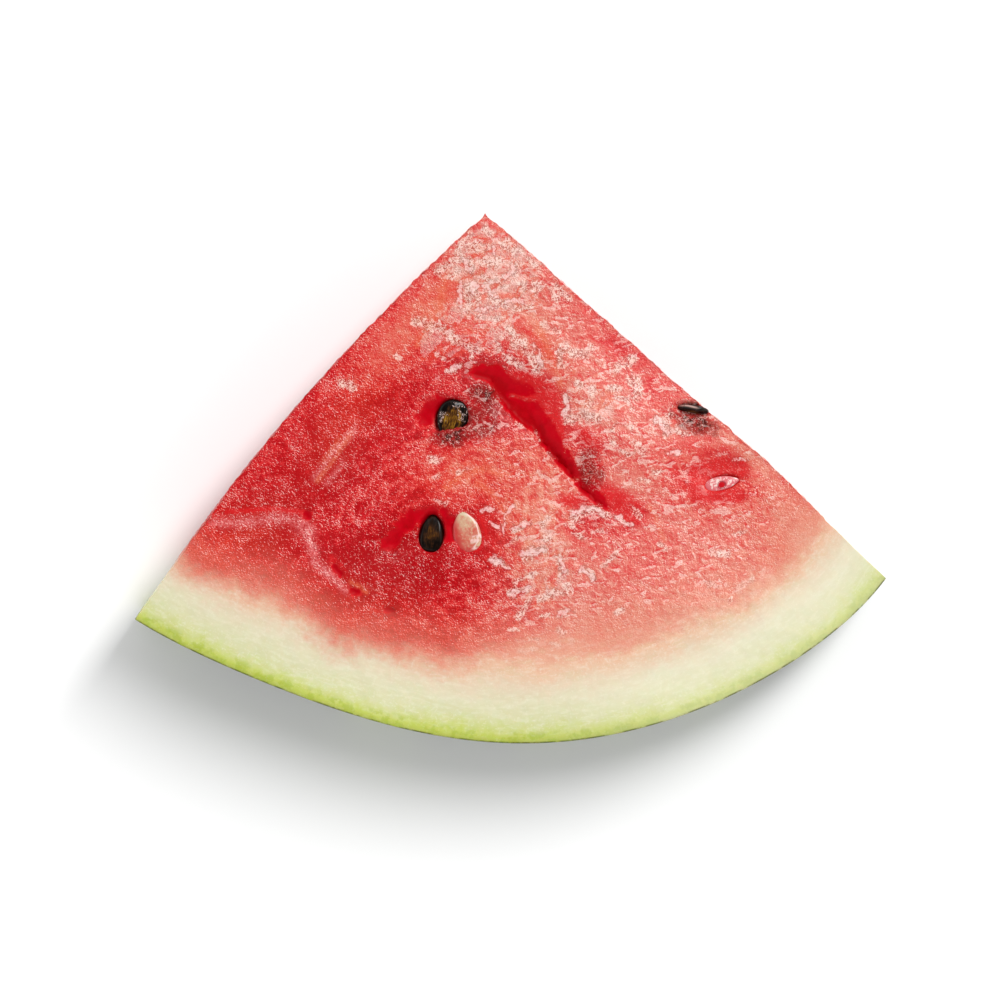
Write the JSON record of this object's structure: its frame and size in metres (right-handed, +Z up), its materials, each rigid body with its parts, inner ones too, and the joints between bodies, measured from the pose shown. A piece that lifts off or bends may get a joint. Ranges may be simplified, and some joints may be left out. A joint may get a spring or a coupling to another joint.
{
  "type": "watermelon slice",
  "caption": "Quarter-round slice of watermelon with red flesh, pale rind, green skin and a fissure across its upper face, lying flat.",
  "frame": {"origin": "on the floor, at the middle of the slice's box as it lies on its lower cut face", "axes": "+Z up through the slice's thickness, +X along its longest side, +Y towards the apex at the melon's heart"},
  "size_m": [0.1619, 0.1142, 0.0279],
  "materials": {
    "flesh": "wet cut melon flesh, running out into a pale green rind and a dark green skin",
    "seed": "wet dark brown seed coat"
  },
  "bodies": {
    "root": {"watermelon_slice": "flesh"}
  },
  "joints": []
}
